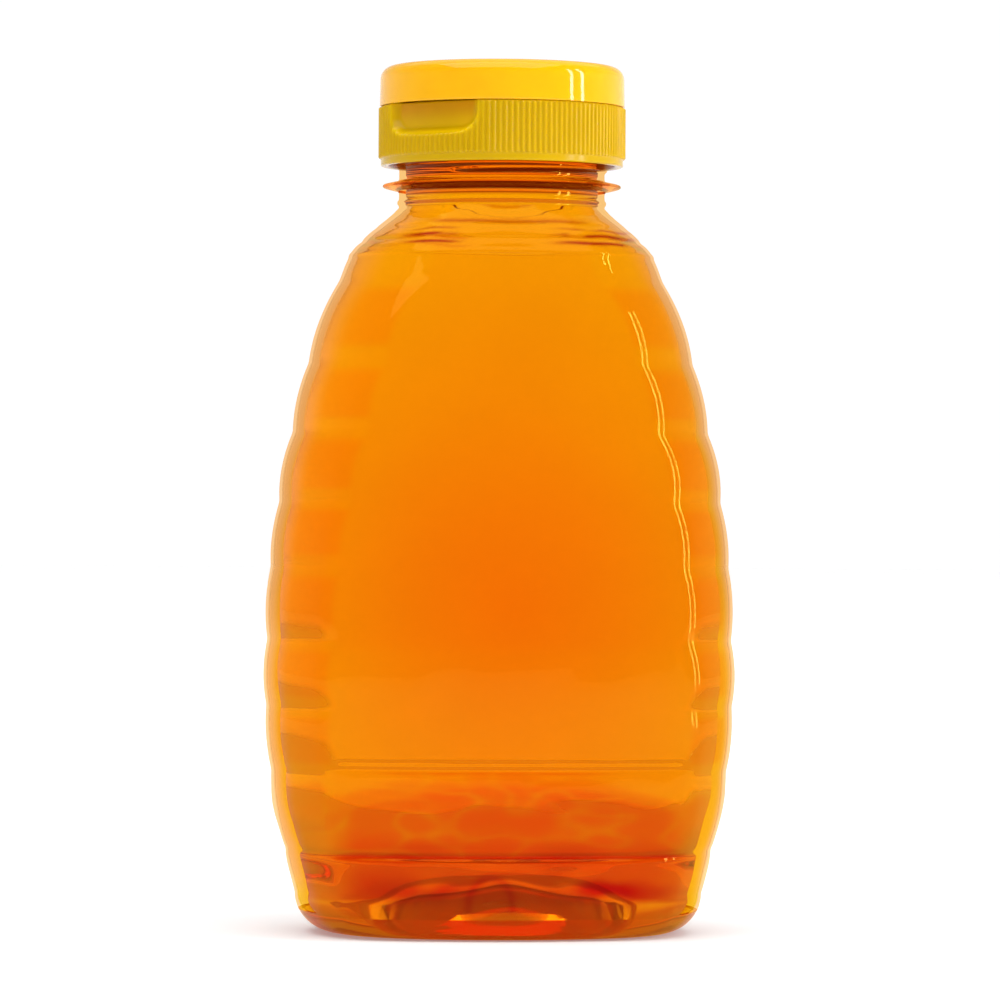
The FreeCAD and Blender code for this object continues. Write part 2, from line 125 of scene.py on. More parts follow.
# ---------------------------------------------------------------------------
# form of the bottle's body (millimetres here), as radii over bearing and height
# ---------------------------------------------------------------------------
WIDE, DEPTH = 40.0, 27.5
TAPER_UP, TAPER_DOWN = 104.0, 108.0
PANEL_CURVE = 110.0
HEEL, SHOULDER_Z, NECK_Z = 6.5, 111.3, 121.2
STAND_WIDE, STAND_DEEP, STAND_N = 27.7, 22.6, 2.3
NECK_OUT, NECK_IN = 17.3, 15.7
WALL, FLOOR = 0.75, 1.1
CREASES = [(13.8, 35.85), (26.9, 38.2), (37.8, 39.08), (48.8, 38.96), (61.0, 38.45),
           (71.9, 37.06), (83.5, 34.87), (95.1, 32.27), (108.9, 27.2)]
SWELLS = [0.62, 0.42, 0.59, 0.54, 0.48, 0.72, 0.60, 0.88]
SHOULDER = np.array([(111.3, 26.3), (112.1, 25.95), (113.1, 25.5), (114.1, 24.9),
                     (115.1, 24.05), (116.1, 23.0), (117.2, 21.85), (118.2, 20.65),
                     (119.2, 19.4), (120.2, 18.25), (121.2, 17.3)])

FINE = np.arange(0.0, 125.0, 0.05)


def spread(values, sigma_mm):
    """Rounds the creases of a profile on the FINE grid."""
    reach = int(4 * sigma_mm / 0.05)
    kernel = np.exp(-0.5 * (np.arange(-reach, reach + 1) * 0.05 / sigma_mm) ** 2)
    kernel /= kernel.sum()
    padded = np.concatenate([np.full(reach, values[0]), values, np.full(reach, values[-1])])
    return np.convolve(padded, kernel, "valid")


def _side_profile():
    out = np.empty_like(FINE)
    for i, z in enumerate(FINE):
        if z <= CREASES[0][0]:
            t = (z - HEEL) / (CREASES[0][0] - HEEL)
            out[i] = 34.15 + (CREASES[0][1] - 34.15) * max(t, -0.2)
            if 0 < t < 1:
                out[i] += 4 * 0.12 * t * (1 - t)
        elif z >= CREASES[-1][0]:
            out[i] = CREASES[-1][1] - 0.375 * (z - CREASES[-1][0])
        else:
            for (z0, w0), (z1, w1), swell in zip(CREASES, CREASES[1:], SWELLS):
                if z <= z1:
                    t = (z - z0) / (z1 - z0)
                    out[i] = w0 + (w1 - w0) * t + 4 * swell * t * (1 - t)
                    break
    out = out - 0.12 * np.exp(-((FINE - CREASES[0][0]) / 0.5) ** 2)
    return spread(out, 0.27)


def _panel_profile():
    reach = np.where(FINE > WIDE, TAPER_UP, TAPER_DOWN)
    half = DEPTH * np.sqrt(np.maximum(0.0, 1.0 - ((FINE - WIDE) / reach) ** 2))
    low, high = CREASES[0][0], CREASES[1][0] + 0.5
    t = np.clip((FINE - low) / (high - low), 0, 1)
    half = half + 4 * 0.22 * t * (1 - t)
    # a crease under the lowest band, all the way round, and a fine one over it
    half = half - 0.45 * np.exp(-((FINE - low) / 0.50) ** 2)
    half = half - 0.09 * np.exp(-((FINE - 27.9) / 0.28) ** 2)
    return spread(half, 0.16)


SIDE = _side_profile()
PANEL = _panel_profile()


def side_half(z):
    return np.interp(z, FINE, SIDE)


def panel_half(z):
    return np.interp(z, FINE, PANEL)


def depth_share(z):
    up = 0.926 - 0.060 * (z - 50.0) / 55.0
    down = 0.926 + 0.044 * (50.0 - np.maximum(z, 27.7)) / 22.3
    return np.where(z > 50.0, up, down)


def corner_round(z):
    t = np.clip((CREASES[1][0] - z) / (CREASES[1][0] - HEEL), 0, 1)
    return 1.8 + 3.2 * t


def section(z, angle, off, sink=0.0):
    """Radius at height z and bearing angle, off inside the outer face.

    sink is how far the label panel lies under its rim."""
    z = min(max(float(z), HEEL), SHOULDER_Z)
    c, s = np.abs(np.cos(angle)), np.maximum(np.abs(np.sin(angle)), 1e-6)
    half = side_half(z) - off
    deep = side_half(z) * depth_share(z) - off
    flat = panel_half(z) + 0.12 - off
    oval = 1.0 / np.sqrt((c / half) ** 2 + (s / deep) ** 2)
    back = PANEL_CURVE - flat
    plate = -back * s + np.sqrt((back * s) ** 2 + flat * (2 * PANEL_CURVE - flat))
    plate = np.minimum(plate, 200.0)
    inside = smooth01((oval - plate - 0.5) / 1.3)
    upright = smooth01((z - 27.0) / 1.5) * smooth01((SHOULDER_Z - 0.2 - z) / 1.5)
    plate = plate - (sink * inside * upright + 0.12 * inside)
    k = corner_round(z)
    return softmin(oval, plate, k)


def stand(angle, off):
    c, s = np.abs(np.cos(angle)), np.abs(np.sin(angle))
    wide, deep = STAND_WIDE - off, STAND_DEEP - off
    return 1.0 / ((c / wide) ** STAND_N + (s / deep) ** STAND_N) ** (1.0 / STAND_N)


def ripple(x, y, z, amount, size, seed):
    """Slow unevenness of a blown wall, in millimetres."""
    out, z = np.empty(len(x)), np.broadcast_to(z, np.shape(x))
    for i in range(len(x)):
        out[i] = noise.noise(Vector((x[i] / size + seed, y[i] / size, z[i] / size)))
    return out * amount


COLS = 360
BEARING = np.arange(COLS) * 2 * math.pi / COLS


def skin_rows(off, floor, neck, sink, pushup_gap, columns=BEARING, step=0.45, wob=0.05, seed=3.0):
    """Rows of the body's face from the middle of the base up to the neck."""
    rows = []
    unit = np.stack([np.cos(columns), np.sin(columns)], 1)

    def add(radii, z):
        x, y = unit[:, 0] * radii, unit[:, 1] * radii
        if wob:
            mean = float(np.mean(z))
            radii = radii + ripple(x, y, mean, wob, 9.0, seed)
            low = float(smooth01((mean - 6.0) / 4.0) * smooth01((27.0 - mean) / 6.0))
            if low > 0:
                radii = radii + ripple(x, y * 0.6, mean * 2.2, 0.20 * low, 11.0, seed + 5.0)
            x, y = unit[:, 0] * radii, unit[:, 1] * radii
        rows.append(np.stack([x, y, np.broadcast_to(z, radii.shape)], 1))

    foot_ring = stand(columns, off)
    # pushed-up base: a dome with a round gate mark, and a shallow cross groove
    height = 9.5
    rows.append(np.array([[0.0, 0.0, floor + height - pushup_gap]]))
    for r in (0.6, 1.2, 1.7, 2.1, 2.4, 2.7, 3.1, 3.6):
        t = smooth01((r - 1.7) / 1.2)
        z = floor + height * (1 - 0.02 * (r / 3.6)) - pushup_gap * (1 - t)
        add_r = np.full(len(columns), r)
        rows.append(np.stack([unit[:, 0] * add_r, unit[:, 1] * add_r,
                              np.full(len(columns), z)], 1))
    shares = np.array([0.16, 0.22, 0.30, 0.38, 0.46, 0.54, 0.61, 0.67, 0.72, 0.765, 0.80, 0.83,
                       0.855, 0.875, 0.895, 0.915, 0.94])
    drop = np.array([1.0, 0.985, 0.96, 0.92, 0.87, 0.80, 0.72, 0.62, 0.51, 0.39, 0.28, 0.19,
                     0.11, 0.055, 0.02, 0.0, 0.0])
    for share, d in zip(shares, drop):
        radii = foot_ring * share
        lump = 0.55 * np.cos(4 * columns) * math.sin(math.pi * min(1, max(0, (share - 0.15) / 0.65)))
        z = floor + height * d + lump * (d > 0.02) * min(1.0, d * 4) * 0.8
        rows.append(np.stack([unit[:, 0] * radii, unit[:, 1] * radii, z], 1))
    wide = section(HEEL, columns, off, sink)
    rise = HEEL - floor
    for turn in np.linspace(90, 0, 15):
        a = math.radians(turn)
        add(wide - (wide - foot_ring) * (1 - math.cos(a)), HEEL - rise * math.sin(a))
    z = HEEL + step
    while z < SHOULDER_Z - 0.2:
        add(section(z, columns, off, sink), z)
        z += step * (0.5 if 11.8 < z < 15.2 or 26.4 < z < 29.0 else 1.0)
    top = section(SHOULDER_Z, columns, off, sink)
    grid = np.linspace(SHOULDER_Z, NECK_Z, 56)
    share_fine = (SHOULDER[0, 1] - np.interp(np.arange(111.3, 121.25, 0.05),
                                             SHOULDER[:, 0], SHOULDER[:, 1])) / 9.0
    for z in grid:
        t = np.interp(z, np.arange(111.3, 121.25, 0.05), share_fine)
        # two faint steps run round the shoulder
        fold = 0.16 * math.exp(-((z - 113.3) / 0.45) ** 2) - 0.24 * math.exp(-((z - 115.4) / 0.45) ** 2)
        fold -= 0.10 * math.exp(-((z - 117.6) / 0.5) ** 2)
        add(top + (neck - top) * t + fold, z)
    return rows


def circle_rows(pairs, columns=BEARING):
    unit = np.stack([np.cos(columns), np.sin(columns)], 1)
    out = []
    for r, z in pairs:
        if r == 0:
            out.append(np.array([[0.0, 0.0, z]]))
        else:
            out.append(np.concatenate([unit * r, np.full((len(columns), 1), z)], 1))
    return out


def arc(cx, cz, r, a0, a1, n):
    return [(cx + r * math.cos(math.radians(a)), cz + r * math.sin(math.radians(a)))
            for a in np.linspace(a0, a1, n)]


def neck_rows():
    """Outside of the neck; the thread's last turn runs out just under the cap."""
    rows = circle_rows(neck_profile)
    out = []
    for row in rows:
        r, z = float(np.hypot(row[0, 0], row[0, 1])), float(row[0, 2])
        if 126.0 < z < 131.0 and r > 17:
            turn = (BEARING + 2.2) % (2 * math.pi)
            line = 126.9 + 1.9 * turn / (2 * math.pi)
            lift = 0.42 * np.exp(-((z - line) / 0.32) ** 2) * smooth01(turn / 0.5)
            lift = lift + 0.16 * math.exp(-((z - 127.9) / 0.2) ** 2)
            unit = np.stack([np.cos(BEARING), np.sin(BEARING)], 1)
            row = np.concatenate([unit * (r + lift)[:, None], row[:, 2:3]], 1)
        out.append(row)
    return out


STEP = 0.45

# neck finish outside: small step over the shoulder, support ring, wall, rounded mouth
neck_profile = (
    [(17.3, 121.45), (17.34, 121.6), (17.5, 121.8), (17.56, 122.05), (17.5, 122.3), (17.34, 122.5),
     (17.28, 122.75), (17.26, 123.4), (17.3, 123.75), (17.45, 123.98), (17.75, 124.1)]
    + [(18.6, 124.3), (19.3, 124.47), (19.7, 124.58)]
    + arc(19.74, 124.87, 0.26, -70, 75, 7)
    + [(19.5, 125.2), (18.6, 125.4), (17.8, 125.58), (17.45, 125.72), (17.3, 125.95),
       (17.25, 126.2)] + [(17.25, z) for z in np.arange(126.35, 130.0, 0.16)]
    + [(17.25, 131.2), (17.25, 133.0), (17.25, 136.1)]
    + arc(16.85, 136.38, 0.4, 0, 90, 5) + [(16.3, 136.78)]
    + arc(16.15, 136.33, 0.45, 90, 180, 5)
    + [(15.7, 135.5), (15.7, 133.0), (15.7, 129.0), (15.7, 125.0), (15.7, 122.5)])

outer = skin_rows(0.0, 0.0, NECK_OUT, 0.05, 1.0, step=STEP, wob=0.06)
inner = skin_rows(WALL, FLOOR, NECK_IN, 0.05, 0.6, step=STEP * 2, wob=0.05, seed=7.0)
bottle = rows_to_mesh("bottle_shell",
                      [r * MM for r in outer + neck_rows() + inner[::-1]])
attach(bottle, BODY)
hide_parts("bottle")

# honey: out into the wall by a quarter of a millimetre, so that no air shows between
REACH = 0.25
filling = skin_rows(WALL - REACH, FLOOR - REACH, NECK_IN + REACH, 0.05, 0.6, step=STEP * 2,
                    wob=0.05, seed=7.0)
level = 133.3
honey_rows = filling + circle_rows(
    [(15.95, 122.5), (15.95, 125.0), (15.95, 129.0), (15.95, level - 0.3),
     (15.9, level - 0.05), (15.6, level), (12.0, level), (6.0, level), (0, level)])
honey = rows_to_mesh("honey_fill", [r * MM for r in honey_rows])


def honey_painted_light_and_shade(points):
    """The honey's colour from place to place, as red, green and blue, with painted shade in the rib swells,
    over the base, at the neck under the cap and in streaks at the shoulder, and painted light at the creases
    and where the sides show edge-on.
    """
    x, y, z = points[:, 0], points[:, 1], points[:, 2]
    angle = np.arctan2(y, x)
    zc = np.clip(z, HEEL, SHOULDER_Z)
    # deepest in the middle of the belly
    away = np.hypot((x - 2.0) / 30.0, (z - 54.0) / 30.0)
    drift = ripple(x, y, z, 0.10, 16.0, 21.0)
    green = np.interp(away + drift, [0.0, 0.5, 1.1, 1.8], [0.50, 0.58, 0.72, 0.80])
    green = green * (1 + 0.05 * smooth01((48.0 - z) / 1.6) * smooth01((z - 24.0) / 14.0))
    # ribs: painted shade in each swell and painted light at its creases, only outside the panels
    c, s_ = np.abs(np.cos(angle)), np.maximum(np.abs(np.sin(angle)), 1e-6)
    half = side_half(zc)
    oval = 1.0 / np.sqrt((c / half) ** 2 + (s_ / (half * depth_share(zc))) ** 2)
    flat = panel_half(zc) + 0.12
    back = PANEL_CURVE - flat
    plate = -back * s_ + np.sqrt((back * s_) ** 2 + flat * (2 * PANEL_CURVE - flat))
    side = 1.0 - smooth01((oval - plate + 0.4) / 0.8)
    levels = np.array([c_[0] for c_ in CREASES[1:]])
    k = np.clip(np.searchsorted(levels, z) - 1, 0, len(levels) - 2)
    t = (z - levels[k]) / (levels[k + 1] - levels[k])
    swell = smooth01((0.40 - np.abs(t - 0.52)) / 0.12) * (z > levels[0]) * (z < levels[-1])
    green = green * (1 + side * (0.10 - 0.34 * swell))
    # base: painted shade, a low mound of deeper colour over the push-up, with streaks in it
    streak = ripple(x, y, z * 5.5, 1.0, 15.0, 33.0)
    patch = ripple(x, y, z * 2.2, 1.0, 13.0, 47.0)
    high = z + 5.0 * (x / 30.0) ** 2 + 1.2 * streak
    middle = smooth01((31.0 - np.abs(x)) / 7.0)
    mound = smooth01((26.0 - high) / 2.2) * smooth01((z - 4.5) / 3.0) * middle
    deep = smooth01((17.5 - z) / 3.5) * smooth01((z - 5.0) / 3.0) * middle
    green = green * (1 - mound * (0.48 + 0.22 * streak)) * (1 - deep * (0.55 + 0.60 * np.maximum(patch, 0)))
    red = 1 - 0.10 * mound - deep * (0.06 + 0.30 * np.maximum(patch, 0))
    # neck: painted shade under the cap, deeper towards it
    under = smooth01((z - 122.6) / 2.4)
    top = smooth01((z - 125.6) / 1.0)
    green = green * (1 - 0.40 * under) * (1 - 0.62 * top)
    red = red * (1 + 0.02 * under)
    # painted shade: dark streaks where the shoulder leaves the panels
    wave = ripple(x, y, z * 0.3, 0.7, 7.0, 61.0)
    reach = smooth01((np.abs(x) - 5.0) / 4.0) * smooth01((27.0 - np.abs(x)) / 4.0)
    thin = np.exp(-((z - 115.7 - wave) / 0.34) ** 2) + 0.7 * np.exp(-((z - 114.4 - 1.3 * wave) / 0.30) ** 2)
    thin = np.clip(thin * smooth01((ripple(x, y, z * 3, 1.0, 6.0, 71.0) + 0.35) / 0.3), 0, 1) * reach
    thin = np.maximum(thin, 0.45 * np.exp(-((z - 118.4 - 0.5 * wave) / 0.35) ** 2)
                      * smooth01((17.0 - np.abs(x)) / 4.0))
    green = green * (1 - 0.72 * thin) * 1.03
    red = red * (1 - 0.30 * thin) * 0.78
    # painted light: paler at the two sides' middle, whose rims show edge-on
    nose = smooth01((15.0 - np.abs(y)) / 5.0) * smooth01((z - 5.0) / 6.0)
    green = green + (0.80 - green) * nose * (1 - mound) * smooth01((124.0 - z) / 2.0)
    blue = green * (0.25 + 0.70 * nose)
    return np.stack([np.clip(red, 0, 1), np.clip(green, 0.02, 1), np.clip(blue, 0, 1),
                     np.ones(len(x))], 1)


def wall_painted_light_and_shade(points):
    """Colour of the clear wall, as red, green and blue: painted light, paler where it shows edge-on and in
    pale lines over the foot, and painted shade in streaks at the shoulder and in dark lines and patches at
    the foot."""
    x, y, z = points[:, 0], points[:, 1], points[:, 2]
    nose = smooth01((15.0 - np.abs(y)) / 5.0)
    low = smooth01((121.0 - z) / 3.0)
    red = np.full(len(x), 0.98)
    green = 0.75 + 0.01 * nose * low
    blue = 0.12 + (0.32 + 0.08 * low) * nose
    half_turn = np.where(y < 0, x, -x)
    facing = np.where(y < 0, 1.0, 0.5) * smooth01((np.abs(y) - 4.0) / 4.0)
    # shoulder: painted shade, lens-shaped dark streaks at both ends of the panel's top, a line above them
    wave = ripple(half_turn, np.abs(y), z * 0.3, 0.55, 7.0, 61.0)
    ends = (np.exp(-((half_turn + 13.0) / 4.2) ** 4) + np.exp(-((half_turn - 14.5) / 6.5) ** 4))
    broken = smooth01((ripple(half_turn, np.abs(y), z * 3, 1.0, 5.0, 71.0) + 0.55) / 0.4)
    dark = (np.exp(-((z - 115.9 - wave) / 0.30) ** 2) + np.exp(-((z - 114.7 - 0.7 * wave) / 0.26) ** 2)
            + 0.6 * np.exp(-((z - 116.9 - wave) / 0.22) ** 2))
    dark = np.clip(dark * broken, 0, 1) * np.clip(ends, 0, 1)
    above = np.exp(-((z - 118.2 - 0.5 * wave) / 0.28) ** 2) * smooth01((14.0 - np.abs(half_turn)) / 3.0)
    dark = np.maximum(dark, 0.55 * above) * facing
    red = red * (1 - 0.50 * dark)
    green = green * (1 - 0.93 * dark)
    # foot: painted shade, a dark line along the lowest crease and deep patches under it; painted light, pale
    # lines over it
    bend = ripple(half_turn, np.abs(y), z * 0.2, 0.5, 12.0, 83.0)
    torn = ripple(half_turn, np.abs(y), z * 2.4, 1.0, 5.5, 91.0)
    line = np.exp(-((z - 13.7 - 0.5 * bend) / 0.42) ** 2) * smooth01((31.0 - np.abs(half_turn)) / 4.0)
    patch = (np.exp(-(((half_turn + 14.0) / 7.5) ** 2 + ((z - 9.4 - 0.10 * half_turn) / 1.7) ** 2))
             + 1.15 * np.exp(-(((half_turn - 16.0) / 9.0) ** 2 + ((z - 9.6 + 0.08 * half_turn) / 2.0) ** 2)))
    patch = np.clip(patch * smooth01((torn + 0.75) / 0.9), 0, 1)
    arch = np.exp(-((np.hypot((half_turn + 3.5) / 1.0, (z - 5.6) / 1.35) - 3.6) / 0.55) ** 2) * (z > 4.5)
    deep = np.clip(0.62 * line + patch + 0.5 * arch, 0, 1) * facing
    haze = smooth01((26.0 - z - 3.7 * (half_turn / 25.0) ** 2) / 1.0) * smooth01((z - 13.2) / 0.8)
    haze = haze * smooth01((30.0 - np.abs(half_turn)) / 5.0) * facing
    field = ripple(half_turn, np.abs(y), z * 2.6, 1.0, 9.0, 103.0)
    pale = np.exp(-(field / 0.10) ** 2) * haze
    red = red * (1 - 0.24 * deep)
    green = green * (1 - 0.90 * deep) * (1 - 0.24 * haze) * (1 + 0.40 * pale)
    return np.stack([np.clip(red, 0, 1), np.clip(green, 0.02, 1), np.clip(blue, 0, 1),
                     np.ones(len(x))], 1)


tone = bottle.data.color_attributes.new(name="tone", type="FLOAT_COLOR", domain="POINT")
tone.data.foreach_set("color", wall_painted_light_and_shade(np.concatenate(outer + neck_rows() + inner[::-1])).ravel())

tone = honey.data.color_attributes.new(name="tone", type="FLOAT_COLOR", domain="POINT")
tone.data.foreach_set("color", honey_painted_light_and_shade(np.concatenate(honey_rows)).ravel())
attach(honey, BODY)
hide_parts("honey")

# ---------------------------------------------------------------------------
# cap, modelled with its scoop towards -Y, then turned about the axis
# ---------------------------------------------------------------------------
CAP_TURN = math.radians(-43.0)
KNURLS = 136
PER = 6
CAP_COLS = np.arange(KNURLS * PER) * 2 * math.pi / (KNURLS * PER)


def cap_place(rows):
    c, s = math.cos(CAP_TURN), math.sin(CAP_TURN)
    out = []
    for row in rows:
        x, y = row[:, 0].copy(), row[:, 1].copy()
        out.append(np.stack([x * c - y * s, x * s + y * c, row[:, 2]], 1))
    return out


def skirt_radius(angle, z):
    """Outer face of the skirt over bearing and height: band, knurls, scoop, hinge flat."""
    phase = angle * KNURLS / (2 * math.pi)
    ridge = (0.5 + 0.5 * np.cos(2 * math.pi * phase)) ** 0.9
    fade = smooth01((z - 129.35) / 0.35) * smooth01((138.12 - z) / 0.25)
    r = 20.35 + 0.05 * fade + 0.36 * ridge * fade
    # thumb scoop: floor, steep sides, a slope below
    away = angle + math.pi / 2
    away = (away + math.pi) % (2 * math.pi) - math.pi
    front = np.abs(away) < 1.0
    x = 20.6 * np.sin(away)
    half, low, corner = 8.6, 133.8, 2.6
    qx = np.abs(x) - (half - corner)
    qz = (low + corner) - z
    sd = np.where((qx > 0) & (qz > 0), np.hypot(np.maximum(qx, 0), np.maximum(qz, 0)),
                  np.maximum(qx, qz)) - corner
    out = np.log1p(np.exp(np.clip(sd * 7.0, -40, 40))) / 7.0
    dish = 18.0 - x * x / 100.0 + 0.06 * np.maximum(0, 138.2 - z)
    dist = dish + 1.75 * out
    scoop = dist / np.maximum(np.cos(away), 0.3)
    r = np.where(front, softmin(r, scoop, 0.28), r)
    # flat at the hinge
    rear = (angle - math.pi / 2 + math.pi) % (2 * math.pi) - math.pi
    flat = 20.0 / np.maximum(np.cos(rear), 0.3) + 2.0 * (1 - smooth01((z - 134.6) / 0.5))
    r = np.where(np.abs(rear) < 0.6, softmin(r, flat, 0.08), r)
    return r


def skirt_row(z, shrink=0.0):
    r = skirt_radius(CAP_COLS, z) - shrink
    return np.stack([np.cos(CAP_COLS) * r, np.sin(CAP_COLS) * r, np.full(len(r), z)], 1)


def deck_row(share, z):
    """Between the skirt's top edge and the stage."""
    r = skirt_radius(CAP_COLS, 138.2) - 0.10
    r = 17.4 + (r - 17.4) * share
    return np.stack([np.cos(CAP_COLS) * r, np.sin(CAP_COLS) * r, np.full(len(r), z)], 1)


rows = circle_rows([(18.95, 131.0), (18.95, 129.5), (18.97, 128.5), (19.1, 128.28)], CAP_COLS)
rows += circle_rows(arc(19.4, 128.45, 0.25, -140, -90, 3), CAP_COLS)
rows += circle_rows([(20.05, 128.2)] + arc(20.1, 128.45, 0.25, -75, 0, 4), CAP_COLS)
zs = ([128.7, 129.0, 129.3, 129.4, 129.48, 129.56, 129.64, 129.75, 129.95]
      + list(np.arange(130.3, 131.2, 0.35)) + list(np.arange(131.2, 134.5, 0.2))
      + list(np.arange(134.6, 137.7, 0.35)) + [137.8, 137.9, 138.0, 138.06])
rows += [skirt_row(z) for z in zs]
rows += [skirt_row(138.15, 0.01), skirt_row(138.185, 0.03), skirt_row(138.2, 0.06)]
rows += [deck_row(s, 138.2) for s in (1.0, 0.6, 0.25, 0.06)]
rows += circle_rows([(17.36, 138.24), (17.25, 138.5), (17.1, 139.2)]
                    + arc(16.75, 139.4, 0.3, 10, 90, 4)
                    + [(12.0, 139.7), (6.6, 139.7), (6.2, 139.75), (6.0, 139.9), (5.6, 140.6)]
                    + arc(5.2, 140.75, 0.25, 10, 90, 4)
                    + [(4.2, 141.0), (3.6, 141.0), (3.35, 140.9), (3.2, 140.7), (3.175, 140.4),
                       (3.175, 138.5), (3.175, 136.9), (3.3, 136.8), (8.0, 136.8), (17.3, 136.8),
                       (17.55, 136.7), (17.6, 136.3), (17.6, 132.9), (18.4, 132.3),
                       (18.9, 131.9), (18.95, 131.4)], CAP_COLS)


def skirt_tone(points):
    """Shade in the scoop and a bright lip round it, as a factor on the plastic's colour."""
    x, y, z = points[:, 0], points[:, 1], points[:, 2]
    r = np.hypot(x, y)
    across = 20.6 * x / np.maximum(r, 1e-6)
    half, low, corner = 8.6, 133.8, 2.6
    qx, qz = np.abs(across) - (half - corner), (low + corner) - z
    sd = np.where((qx > 0) & (qz > 0), np.hypot(np.maximum(qx, 0), np.maximum(qz, 0)),
                  np.maximum(qx, qz)) - corner
    seen = (y < 0) * (z > 131.0) * (z < 138.21) * (r > 17.0) * (np.abs(across) < 11.0)
    inside = smooth01((0.2 - sd) / 0.8) * seen
    high = smooth01((z - 133.9) / 3.8)
    lip = np.exp(-((sd - 0.75) / 0.42) ** 2) * seen * np.where(qz > qx, 1.0, 0.35)
    red = 1 + inside * (0.14 - 0.10 * high) + 0.36 * lip
    green = 1 + inside * (0.14 - 0.32 * high) + 0.50 * lip
    return np.stack([red, green, np.ones(len(x)), np.ones(len(x))], 1)


rows.append(rows[0])
shade = skirt_tone(np.concatenate(rows))
rows = cap_place(rows)
skirt = rows_to_mesh("cap_skirt", [r * MM for r in rows])
tone = skirt.data.color_attributes.new(name="tone", type="FLOAT_COLOR", domain="POINT")
tone.data.foreach_set("color", shade.ravel())
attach(skirt, BODY)
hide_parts("cap_base")

# lid: drafted wall, rounded top edge, slightly crowned top, hollow with a sealing plug
LID_COLS = np.arange(256) * 2 * math.pi / 256


def lid_row(r, z, flat=True):
    rr = np.full(len(LID_COLS), float(r))
    if flat:
        rear = (LID_COLS - math.pi / 2 + math.pi) % (2 * math.pi) - math.pi
        limit = 20.0 / np.maximum(np.cos(rear), 0.3) + 2.0 * smooth01((z - 140.9) / 0.5)
        rr = np.where(np.abs(rear) < 0.6, softmin(rr, limit, 0.06), rr)
    return np.stack([np.cos(LID_COLS) * rr, np.sin(LID_COLS) * rr, np.full(len(rr), z)], 1)


rows = [lid_row(r, z, False) for r, z in
        [(19.15, 138.6), (19.2, 138.38), (19.3, 138.26), (19.5, 138.24)]]
rows += [lid_row(r, z) for r, z in
         [(20.3, 138.24)] + arc(20.55, 138.29, 0.05, -85, 0, 4)
         + [(20.6, 138.8), (20.58, 139.6), (20.56, 140.4), (20.55, 141.0), (20.54, 141.5),
            (20.53, 142.2)]]
rows += [lid_row(r, z, False) for r, z in arc(18.32, 142.8, 2.2, 0, 82, 12)]
rows += [lid_row(r, z, False) for r, z in [(17.6, 144.99), (15.0, 144.985), (10.0, 144.95),
                                           (5.0, 144.93)]]
rows.append(np.array([[0.0, 0.0, 144.92]]))
top_rows = rows
under = [lid_row(r, z, False) for r, z in
         [(19.12, 139.2), (19.1, 141.0), (19.1, 142.8), (18.9, 143.3), (18.4, 143.5), (12.0, 143.5),
          (4.0, 143.5), (3.2, 143.45), (2.98, 143.2), (2.9, 141.0), (2.85, 140.3), (2.7, 140.0),
          (2.5, 139.9), (2.15, 139.9), (1.95, 140.0), (1.9, 140.3), (1.9, 142.8), (1.6, 143.4),
          (1.0, 143.5)]]
under.append(np.array([[0.0, 0.0, 143.5]]))
lid_rows = cap_place(under[::-1] + top_rows)
lid = rows_to_mesh("cap_lid", [r * MM for r in lid_rows])
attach(lid, LID)
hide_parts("lid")

# living hinge: one thin strap between skirt and lid, thinnest at the hinge line
strap_rows = []
for z in np.linspace(137.1, 139.5, 25):
    half = 4.2
    pts = [(-half, 19.98), (half, 19.98), (half, 20.28), (-half, 20.28)]
    thin = 0.30 - 0.12 * math.exp(-((z - 138.28) / 0.35) ** 2)
    pts = [(-half, 19.98), (-half * 0.5, 19.98), (half * 0.5, 19.98), (half, 19.98),
           (half, 19.98 + thin), (half * 0.5, 19.98 + thin), (-half * 0.5, 19.98 + thin),
           (-half, 19.98 + thin)]
    strap_rows.append(np.array([(x, y, z) for x, y in pts]))
strap_rows = ([np.array([[0.0, 20.1, 137.08]])] + strap_rows + [np.array([[0.0, 20.1, 139.52]])])
strap = rows_to_mesh("hinge_strap", [r * MM for r in cap_place(strap_rows)])
strap.data.polygons.foreach_set("use_smooth", [False] * len(strap.data.polygons))

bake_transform(strap)


# ---------------------------------------------------------------------------
# materials
# ---------------------------------------------------------------------------
def material(name):
    mat = bpy.data.materials.new(name)
    mat.use_nodes = True
    nodes = mat.node_tree.nodes
    nodes.clear()
    out = nodes.new("ShaderNodeOutputMaterial")
    shader = nodes.new("ShaderNodeBsdfPrincipled")
    mat.node_tree.links.new(shader.outputs[0], out.inputs["Surface"])
    return mat, shader, out


def add_noise(mat, scale, detail=2.0, rough=0.5, stretch=(1, 1, 1)):
    nodes, links = mat.node_tree.nodes, mat.node_tree.links
    coords = nodes.new("ShaderNodeTexCoord")
    mapping = nodes.new("ShaderNodeMapping")
    mapping.inputs["Scale"].default_value = stretch
    tex = nodes.new("ShaderNodeTexNoise")
    tex.inputs["Scale"].default_value = scale
    tex.inputs["Detail"].default_value = detail
    tex.inputs["Roughness"].default_value = rough
    links.new(coords.outputs["Object"], mapping.inputs["Vector"])
    links.new(mapping.outputs[0], tex.inputs["Vector"])
    return tex


def ramp(mat, source, stops):
    nodes, links = mat.node_tree.nodes, mat.node_tree.links
    node = nodes.new("ShaderNodeValToRGB")
    node.color_ramp.interpolation = "LINEAR"
    while len(node.color_ramp.elements) > 1:
        node.color_ramp.elements.remove(node.color_ramp.elements[-1])
    first = node.color_ramp.elements[0]
    first.position, first.color = stops[0][0], (*stops[0][1], 1)
    for pos, col in stops[1:]:
        e = node.color_ramp.elements.new(pos)
        e.color = (*col, 1)
    links.new(source, node.inputs["Fac"])
    return node


def bump(mat, shader, source, strength, distance):
    nodes, links = mat.node_tree.nodes, mat.node_tree.links
    node = nodes.new("ShaderNodeBump")
    node.inputs["Strength"].default_value = strength
    node.inputs["Distance"].default_value = distance
    links.new(source, node.inputs["Height"])
    links.new(node.outputs[0], shader.inputs["Normal"])
    return node


